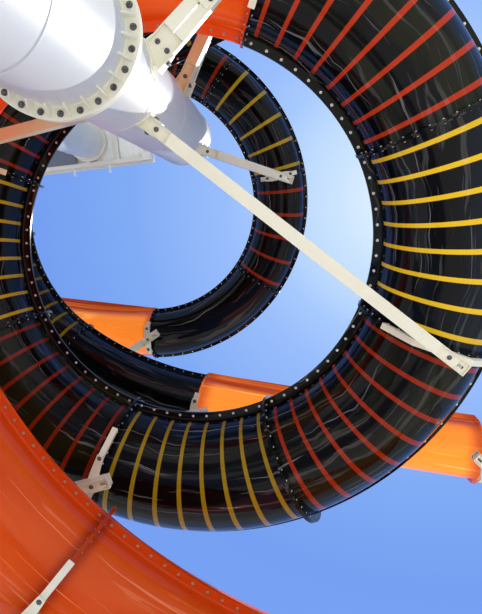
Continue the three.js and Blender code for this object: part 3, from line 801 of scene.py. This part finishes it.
# The glow is painted sunlight shining through the thin orange laminate
orange_coat = laminate("orange laminate", (0.66, 0.060, 0.003), (0.86, 0.26, 0.11), (0.76, 0.15, 0.050),
                       (0.72, 0.095, 0.012), lines=30.0, lip=(0.60, 0.050, 0.003), joint=(0.34, 0.026, 0.004),
                       glow=0.50, sway=0.04)
# Darker, yellower zinc for the bolts of the orange sections
orange_zinc = plated_steel("darker yellowish zinc on the orange sections", (0.52, 0.42, 0.28), (0.34, 0.24, 0.14), 0.5)
# Painted light: how bright the light painted through the stripes of each black section is, from the top
# down, and how strongly each orange section's painted glow shines; both follow where the sun falls
STRIPE_LIGHT = (0.40, 0.55, 0.38, 0.55, 0.28, 0.36, 0.45, 1.00, 0.72)
ORANGE_LIGHT = (0.76, 0.76, 0.70, 0.20, 0.15, 0.15)


def lip_bolts(bay, pitch, radius, ear):
    """Heads below and nuts above both side lips of a section."""
    spots = []
    count = round(bay[4] / pitch)
    for k in range(count):
        x, y, z, heading = place_on(bay, (k + 0.5) / count)
        for side in (-1, 1):
            east, north = x - side * radius * math.sin(heading), y + side * radius * math.cos(heading)
            spots += [((east, north, z - ear), (0, 0, -1)), ((east, north, z + ear), (0, 0, 1))]
    return spots


def ring_bolts(bay, radius, count, plate, slope, first=0.0, turn=360.0, ways=(-1, 1)):
    """Heads and nuts round the end flanges at a bay's lower end, clear of the side lips. The slide's last
    flange has heads only."""
    x, y, z, heading = place_on(bay, 1.0)
    ahead = Vector((math.cos(heading), math.sin(heading), -slope)).normalized()
    side = Vector((-math.sin(heading), math.cos(heading), 0.0))
    rise = Vector((slope * math.cos(heading), slope * math.sin(heading), 1.0))
    spots = []
    for k in range(count):
        angle = math.radians(first + (k + 0.5) * turn / count)
        if abs(math.sin(angle)) < CLEAR_OF_LIPS:
            continue
        place = Vector((x, y, z)) + radius * (math.cos(angle) * side + math.sin(angle) * rise)
        spots += [(tuple(place + way * plate * ahead), tuple(way * ahead)) for way in ways]
    return spots


raft_profile = tube_profile(RAFT, upper_steps=40, lower_steps=52)
run_so_far = 0.0
for i, (bay, fall) in enumerate(zip(raft_bays, falls(raft_bays))):
    ways = (-1,) if i == len(raft_bays) - 1 else (-1, 1)
    if i < RAFT_BLACK:
        node, slot, coat = f"raft_black_{i + 1}", "black_gelcoat", black_yellow if i % 2 else black_red
        zinc, pitch = bright_zinc, RAFT_BOLTS["black_pitch"]
    else:
        node, slot, coat = f"raft_orange_{i + 1 - RAFT_BLACK}", "orange_gelcoat", orange_coat
        zinc, pitch = orange_zinc, RAFT_BOLTS["orange_pitch"]
    section = slide_section(node + "_shell", bay, fall, RAFT, raft_profile, RAFT_STEPS, run_so_far,
                            coat, (STRIPE_LIGHT + ORANGE_LIGHT)[i])
    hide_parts(node)
    spots = lip_bolts(bay, pitch, RAFT_BOLTS["lip_radius"], RAFT["ear"])
    fasteners(node + "_bolts", spots, RAFT_BOLTS["lip_size"], zinc)
    spots = ring_bolts(bay, RAFT_BOLTS["ring_radius"], RAFT_BOLTS["ring_count"], RAFT["plate"], fall[1],
                       ways=ways)
    fasteners(node + "_ring_bolts", spots, RAFT_BOLTS["ring_size"], zinc)
    run_so_far += bay[4]


# The body slide above it: the same make in a smaller bore. Its top and bottom runs are open flumes of
# bright orange laminate, thin enough for the sun to shine through; that light is a painted glow.
BODY = dict(shell=0.380, wall=0.012, flange=0.4390, lip=0.434, plate=0.014, ear=0.012, fillet=0.015)
LOOP = dict(x=-0.772, y=0.976, radius=2.249, height=11.373, climb=0.258)
LOOP_JOINTS = (87.5, 33.0, -11.5, -55.0)
ENTRY_LENGTH = 2.750
ENTRY_TURNS = (-35.0, -15.0)
BODY_SLOPE = 0.115
LAST_SLOPE = 0.15
BODY_STEPS = 22
BODY_BOLTS = dict(lip_radius=0.410, lip_pitch=0.150, ring_radius=0.412, ring_count=24, size=0.0066)


def curve_bay(radius, turn, slope=BODY_SLOPE):
    """A bay of an even curve: its length, turn and fall."""
    length = radius * math.radians(turn)
    return length, -turn, length * slope


loop_angle = math.radians(LOOP_JOINTS[0])
loop_start = (
    LOOP["x"] + LOOP["radius"] * math.cos(loop_angle),
    LOOP["y"] + LOOP["radius"] * math.sin(loop_angle),
    LOOP["height"] + LOOP["climb"] * loop_angle,
    loop_angle - math.pi / 2,
)
backward = lay_course(
    (*loop_start[:3], loop_start[3] + math.pi),
    [(ENTRY_LENGTH, -turn, -ENTRY_LENGTH * BODY_SLOPE) for turn in reversed(ENTRY_TURNS)],
)
entry_end = place_on(backward[-1], 1.0)
body_bays = lay_course(
    (*entry_end[:3], entry_end[3] - math.pi),
    [(ENTRY_LENGTH, turn, ENTRY_LENGTH * BODY_SLOPE) for turn in ENTRY_TURNS]
    + [curve_bay(LOOP["radius"], a - b) for a, b in zip(LOOP_JOINTS, LOOP_JOINTS[1:])]
    + [curve_bay(2.009, 42.0), curve_bay(2.009, 42.0), curve_bay(2.504, 50.0), curve_bay(2.458, 48.0),
       curve_bay(4.754, 26.0, LAST_SLOPE), (3.710, -3.4, 0.705)],
)

FLUME_RISE = 0.140
FLUME_RIM = 0.016
FLUME_STEPS = 26
FLUME_BOLTS = 12


def flume_profile(size, steps):
    """Outside, inside and flange outlines of an open section: half round below, with short upright sides
    and turned-out rims."""
    inner, lip, below = size["shell"] - size["wall"], size["lip"], FLUME_RISE - FLUME_RIM

    def outer(reach):
        left = [(-lip, FLUME_RISE), (-lip, below), (-reach, below)]
        right = [(reach, below), (lip, below), (lip, FLUME_RISE)]
        return np.array(left + arc(reach, 180.0, 360.0, steps) + right)

    bed = [(-lip, FLUME_RISE)] + [(-inner, FLUME_RISE)] * 2 + arc(inner, 180.0, 360.0, steps)
    inside = np.array(bed + [(inner, FLUME_RISE)] * 2 + [(lip, FLUME_RISE)])
    return outer(size["shell"]), inside, outer(size["flange"])


# Rims and ends of the flumes painted dark red-brown: painted shade, where less of the painted sunlight glows
# through
FLUME_LIP = (0.26, 0.032, 0.008)
bright_coat = laminate("orange laminate with painted sunlight through it", (0.95, 0.24, 0.025), (1.0, 0.42, 0.10), (1.0, 0.36, 0.07),
                       (0.92, 0.19, 0.02), glow=0.95, lip=FLUME_LIP, joint=FLUME_LIP, lip_from=50.0,
                       lines=18.0, sway=0.04)
# Blue tint of the painted reflections on the body slide's black sections
BLUE_ZONE = (0.006, 0.010, 0.020)
plain_black = black_laminate("plain", BLUE_ZONE)
# Stripes of the middle sections, by bay: colour, how many, and how bright the light painted through them is
BODY_STRIPES = {3: (RED_STRIPE, 5, 0.40), 4: (YELLOW_STRIPE, 5, 0.50), 5: (RED_STRIPE, 5, 0.38),
                6: (YELLOW_STRIPE, 5, 0.45), 7: (RED_STRIPE, 5, 0.35), 8: (YELLOW_STRIPE, 8, 0.25)}
STRIPES_EARLY = 0.20
# How strongly the painted glow of sunlight shines through the upper flumes; the last flume's is whole
UPPER_FLUME_LIGHT = 0.66
flume, body_profile = flume_profile(BODY, steps=40), tube_profile(BODY, upper_steps=32, lower_steps=40)
run_so_far = 0.0
for i, (bay, fall) in enumerate(zip(body_bays, falls(body_bays))):
    last = i == len(body_bays) - 1
    if i < len(ENTRY_TURNS) or last:
        node, light, ways = f"body_flume_{i + 1}", UPPER_FLUME_LIGHT, (-1, 1)
        if last:
            light, ways = 1.0, (-1,)
        section = slide_section(node + "_shell", bay, fall, BODY, flume, FLUME_STEPS, run_so_far,
                                bright_coat, light, closed=False)
        spots = ring_bolts(bay, BODY_BOLTS["ring_radius"], FLUME_BOLTS, BODY["plate"], fall[1],
                           180.0, 180.0, ways)
    else:
        node, coat, light = f"body_tube_{i + 1}", plain_black, 1.0
        if i in BODY_STRIPES:
            stripe, count, light = BODY_STRIPES[i]
            coat = black_laminate(f"body section {i + 1}", BLUE_ZONE, stripe, count, bay[4], STRIPES_EARLY)
        section = slide_section(node + "_shell", bay, fall, BODY, body_profile, BODY_STEPS, run_so_far,
                                coat, light)
        spots = lip_bolts(bay, BODY_BOLTS["lip_pitch"], BODY_BOLTS["lip_radius"], BODY["ear"])
        spots += ring_bolts(bay, BODY_BOLTS["ring_radius"], BODY_BOLTS["ring_count"], BODY["plate"], fall[1])
    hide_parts(node)
    fasteners(node + "_bolts", spots, BODY_BOLTS["size"], bright_zinc)
    run_so_far += bay[4]


# The bracket arms: cream-painted box beams bolted into saddles on the columns. Each end is an open
# channel with its bolt in view, and a bent bar at the outer end hugs the slide from below. One arm is
# two flat bars instead, which draw together outward.
CRADLE = dict(width=0.062, depth=0.060, tilt=40.0, spread=45.0, narrow=34.0, gap=0.0006, round=0.05)
YOKE = dict(width=0.108, end=0.070, thick=0.010, past=0.034, middle=0.100, bolt_in=0.004)
SADDLE = dict(beside=0.030, sunk=0.004, proud=0.010, past=0.045, steps=8)
ARM = dict(height=0.150, past=0.230, sheet=0.010, recess=0.028, near=0.26, far=0.33, sunk=0.02,
           end_plate=0.060, ease=0.003)
BOX_ARM = dict(root=0.120, tip=0.120, deep=0.150, root_bolts=(0.0,), plate_bolts=())
FLAT_ARM = dict(root=0.220, tip=0.150, deep=0.080, root_bolts=(-0.052, 0.052), plate_bolts=(-0.048, 0.048))
FLAT_ARM_SLIT = 0.018
CROSS_PLATE = dict(start=0.56, middle=0.64, end=0.72, half=0.080, thick=0.010)
SLOT = dict(start=0.23, end=0.29, width=0.026)
GUSSET = dict(thick=0.010, middle=0.006, face=0.011, bolts_at=0.065, bolt_shares=(0.28, 0.72),
              below=((-0.04, -0.040), (0.05, -0.025), (0.14, 0.02)),
              above=((0.14, -0.02), (0.05, 0.03), (-0.04, 0.05)))
ROOT_BOLT, OUTER_BOLT = 0.125, 0.13
RAFT_CLEAR, BODY_CLEAR = 0.0015, 0.0010
# Painted light: the two arms next to the orange slide take a warmer cream that stands in for light bounced
# off the orange laminate
orange_bounce_paint = painted_steel("cream arm paint with painted orange bounce light", (0.81, 0.76, 0.46),
                             (0.66, 0.58, 0.35), 2.5)


def joint_of(bays, i):
    """The joint above a bay: x, y, z, heading and the slope there."""
    slope = (bays[i][6] / bays[i][4] + bays[i - 1][6] / bays[i - 1][4]) / 2
    return (*place_on(bays[i], 0.0), slope)


def end_of(bay, share):
    """A free end of a slide, which stands upright."""
    return (*place_on(bay, share), 0.0)


def rounded(path, radius, steps=5):
    """A path of straights with its inner corners rounded."""
    points = [Vector(path[0])]
    for before, here, after in zip(path, path[1:], path[2:]):
        back = (Vector(before) - Vector(here)).normalized()
        on = (Vector(after) - Vector(here)).normalized()
        reach = radius / math.tan(back.angle(on) / 2)
        a, b = Vector(here) + back * reach, Vector(here) + on * reach
        for k in range(steps + 1):
            t = k / steps
            points.append(a * (1 - t) ** 2 + Vector(here) * 2 * t * (1 - t) + b * t ** 2)
    return points + [Vector(path[-1])]


def cradle_bar(place, reach, spread, yoked):
    """The bent bar under a joint of the slide, square across its fall. Most lie on a yoke plate that is
    widest at the arm, with a bolt at each end; the places of those bolts come with it."""
    x, y, z, heading, slope = place
    tilt = math.radians(CRADLE["tilt"])

    def path(radius):
        low = radius * math.tan(tilt / 2)
        tail = radius * math.tan(math.radians(spread) - tilt)
        out = radius * math.sin(tilt) + tail * math.cos(tilt)
        up = -radius * math.cos(tilt) + tail * math.sin(tilt)
        return [(-out, up), (-low, -radius), (low, -radius), (out, up)]

    inner = reach + CRADLE["gap"]
    outer = inner + CRADLE["depth"]
    loop = rounded(path(outer), CRADLE["round"]) + rounded(path(inner), CRADLE["round"])[::-1]
    bar = prism([tuple(p) for p in loop], CRADLE["width"])
    across_fall = Matrix(((1, 0, 0, 0), (0, 1, -slope, 0), (0, slope, 1, 0), (0, 0, 0, 1)))
    at_joint = turn_z(math.degrees(heading) + 90.0, x, y, z) @ across_fall
    if not yoked:
        return moved(bar, at_joint), []
    bend = outer * math.tan(tilt / 2)
    far, middle, wide, slim = bend + YOKE["past"], YOKE["middle"], YOKE["width"] / 2, YOKE["end"] / 2
    plan = [(-far, -slim), (-middle, -wide), (middle, -wide), (far, -slim), (far, slim), (middle, wide),
            (-middle, wide), (-far, slim)]
    laid_flat = Matrix.Translation((0, 0, -outer)) @ Matrix.Rotation(math.pi / 2, 4, "X")
    yoke = moved(prism(plan, YOKE["thick"]), laid_flat)
    down = tuple(at_joint.to_3x3().inverted().transposed() @ Vector((0, 0, -1)))
    out, low = bend - YOKE["bolt_in"], -outer - YOKE["thick"] / 2
    bolts = [(tuple(at_joint @ Vector((side * out, 0, low))), down) for side in (-1, 1)]
    return moved(gathered([bar, yoke]), at_joint), bolts


def saddle_pad(column, bearing, width, low, high):
    """A curved plate welded to the shaft behind an arm's root."""
    steps, half = SADDLE["steps"], (width / 2 + SADDLE["beside"]) / column["radius"]
    outline = [(r, bearing - way * half + way * 2 * half * k / steps) for r, way in
               ((column["radius"] - SADDLE["sunk"], 1), (column["radius"] + SADDLE["proud"], -1))
               for k in range(steps + 1)]
    ring = [(column["x"] + r * math.cos(a), column["y"] + r * math.sin(a)) for r, a in outline]
    return between([(x, y, h) for h in (low, high) for x, y in ring])


def channel(start, end, width, height, slot=None):
    """A stretch of arm that is open below: sides, top and a raised floor plate, with or without a slot."""
    sheet, low, high, half = ARM["sheet"], ARM["recess"], ARM["recess"] + ARM["sheet"], width / 2
    inside = half - sheet
    parts = [block((start, -half, 0.0), (end, -inside, height)),
             block((start, inside, 0.0), (end, half, height)),
             block((start, -inside, height - sheet), (end, inside, height))]
    if slot is None:
        return parts + [block((start, -inside, low), (end, inside, high))]
    first, last, wide = slot
    return parts + [block((start, -inside, low), (first, inside, high)),
                    block((last, -inside, low), (end, inside, high)),
                    block((first, -inside, low), (last, -wide / 2, high)),
                    block((first, wide / 2, low), (last, inside, high))]


def bracket_arm(name, column, place, reach, lean=0.0, climb=0.0, flat=False, spread=CRADLE["spread"],
                yoked=True, paint=cream_paint):
    """One arm from a column to the lowest point of a slide's joint, and its bolts."""
    form = FLAT_ARM if flat else BOX_ARM
    half, tip, deep = form["root"] / 2, form["tip"] / 2, form["deep"]
    height, near = ARM["height"], ARM["near"]
    x, y, z, heading, slope = place
    below = slope * (reach + CRADLE["depth"] / 2)
    x, y = x - below * math.cos(heading), y - below * math.sin(heading)
    bearing = math.atan2(y - column["y"], x - column["x"]) + math.radians(lean)
    shaft = column["radius"]
    root = (column["x"] + shaft * math.cos(bearing), column["y"] + shaft * math.sin(bearing))
    span = math.hypot(x - root[0], y - root[1])
    turn = math.degrees(math.atan2(y - root[1], x - root[0]))
    low = z - reach - CRADLE["depth"] - height
    end = span + ARM["past"]
    far = end - ARM["far"]
    if flat:
        slit, laid_flat = FLAT_ARM_SLIT / 2, Matrix.Rotation(math.pi / 2, 4, "X")
        plans = [[(near, side * slit), (far, side * slit), (far, side * tip), (near, side * half)]
                 for side in (-1, 1)]
        beams = [moved(prism(plan, deep, deep / 2), laid_flat) for plan in plans]
        beams.append(block((CROSS_PLATE["start"], -CROSS_PLATE["half"], -CROSS_PLATE["thick"]),
                           (CROSS_PLATE["end"], CROSS_PLATE["half"], 0.0)))
    else:
        beams = [block((near, -half, 0.0), (far, half, height))]
    slot = (far + SLOT["start"], far + SLOT["end"], SLOT["width"])
    shapes = [*beams, *channel(-ARM["sunk"], near, form["root"], deep),
              *channel(far, end - ARM["sheet"], form["tip"], height, slot),
              block((end - ARM["sheet"], -tip, 0.0), (end, tip, ARM["end_plate"]))]
    gusset = [*GUSSET["below"], *[(along, deep + up) for along, up in GUSSET["above"]]]
    shapes += [prism(gusset, GUSSET["thick"], side * (half + GUSSET["middle"])) for side in (-1, 1)]
    rise = Matrix(((1, 0, 0, 0), (0, 1, 0, 0), (climb / span, 0, 1, -climb), (0, 0, 0, 1)))
    at_root = turn_z(turn, *root, low) @ rise
    cradle, cradle_bolts = cradle_bar(place, reach, spread, yoked)
    pad = saddle_pad(column, bearing, form["root"], low - climb - SADDLE["past"],
                     low - climb + height + SADDLE["past"])
    steel = gathered([moved(gathered(shapes), at_root), cradle, pad])
    piece = add_piece(name + "_steel", steel, paint, ease=ARM["ease"])
    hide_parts(name)
    down = Vector((0, 0, -1))
    local = [((ROOT_BOLT, v, ARM["recess"]), down) for v in form["root_bolts"]]
    local += [((far + OUTER_BOLT, 0.0, ARM["recess"]), down)]
    local += [((CROSS_PLATE["middle"], v, -CROSS_PLATE["thick"]), down) for v in form["plate_bolts"]]
    local += [((GUSSET["bolts_at"], side * (half + GUSSET["face"]), deep * share), Vector((0, side, 0)))
              for side in (-1, 1) for share in GUSSET["bolt_shares"]]
    facing = at_root.to_3x3().inverted().transposed()
    spots = [(tuple(at_root @ Vector(spot)), tuple(facing @ way)) for spot, way in local]
    fasteners(name + "_bolts", spots + cradle_bolts, HEAD, dark_zinc)


RIGHT_COLUMN, LEFT_COLUMN = SIDE_COLUMNS["right"], SIDE_COLUMNS["left"]
on_flange, on_rim = RAFT["flange"] + RAFT_CLEAR, BODY["flange"] + BODY_CLEAR
for name, column, i, settings in (
    ("arm_raft_upper", MAIN, 1, dict(lean=29.0, paint=orange_bounce_paint)),
    ("arm_raft_left", MAIN, 3, dict(paint=orange_bounce_paint)),
    ("arm_raft_long", MAIN, 7, dict(lean=14.0, yoked=False)),
    ("arm_raft_colour_change", MAIN, 9, dict(lean=27.0, flat=True)),
    ("arm_raft_low", MAIN, 11, {}),
    ("arm_raft_outer", LEFT_COLUMN, 4, dict(spread=CRADLE["narrow"])),
    ("arm_raft_bottom", LEFT_COLUMN, 5, {}),
    ("arm_orange_outer", LEFT_COLUMN, 13, {}),
):
    bracket_arm(name, column, joint_of(raft_bays, i), on_flange, **settings)
raft_end = end_of(raft_bays[-1], 1.0 - RAFT["plate"] / 2 / raft_bays[-1][4])
bracket_arm("arm_orange_end", RIGHT_COLUMN, raft_end, on_flange)

body_entry = end_of(body_bays[0], BODY["plate"] / 2 / ENTRY_LENGTH)
body_end = end_of(body_bays[-1], 1.0 - BODY["plate"] / 2 / body_bays[-1][4])
for name, column, place, settings in (
    ("arm_body_loop", MAIN, joint_of(body_bays, 4), dict(lean=16.0, climb=0.780)),
    ("arm_body_entry", LEFT_COLUMN, joint_of(body_bays, 2), {}),
    ("arm_body_left", LEFT_COLUMN, joint_of(body_bays, 8), {}),
    ("arm_body_run", LEFT_COLUMN, joint_of(body_bays, 10), {}),
    ("arm_body_end", RIGHT_COLUMN, body_end, {}),
    ("arm_entry_end", FAR, body_entry, {}),
):
    bracket_arm(name, column, place, on_rim, spread=CRADLE["narrow"], **settings)


# A slim channel-shaped tie from higher up the white column to the upper arm's outer end, bolted
# through a wider plate at its root
TIE = dict(bearing=math.radians(-37.8), high=8.990, width=0.075, thick=0.060, root=0.040, short=0.095,
           sink=0.020)
TIE_PLATE = dict(start=0.01, end=0.20, half=0.066, thick=0.012, bolt=0.120)
upper_joint = joint_of(raft_bays, 1)
tie_root = (MAIN["radius"] - TIE["root"]) * Vector((math.cos(TIE["bearing"]), math.sin(TIE["bearing"])))
tie_run = Vector(upper_joint[:2]) - tie_root
tie_away = tie_run.length - TIE["short"]
tie_drop = (upper_joint[2] - on_flange - CRADLE["depth"] - TIE["sink"] - TIE["high"]) / tie_away
tie_fall = Matrix(((1, 0, 0, 0), (0, 1, 0, 0), (tie_drop, 0, 1, 0), (0, 0, 0, 1)))
at_tie = turn_z(math.degrees(math.atan2(tie_run.y, tie_run.x)), *tie_root, TIE["high"]) @ tie_fall
tie_low = -TIE["thick"] / 2
plate_low = tie_low - TIE_PLATE["thick"]
tie_bar = gathered(channel(0.0, tie_away, TIE["width"], TIE["thick"]))
tie_plate = block((TIE_PLATE["start"], -TIE_PLATE["half"], plate_low),
                  (TIE_PLATE["end"], TIE_PLATE["half"], tie_low))
tie = moved(gathered([moved(tie_bar, Matrix.Translation((0, 0, tie_low))), tie_plate]), at_tie)
add_piece("raft_upper_tie", tie, cream_paint, ease=ARM["ease"])
tie_bolt = tuple(at_tie @ Vector((TIE_PLATE["bolt"], 0.0, plate_low)))
fasteners("raft_upper_tie_bolt", [(tie_bolt, (0, 0, -1))], HEAD, dark_zinc)
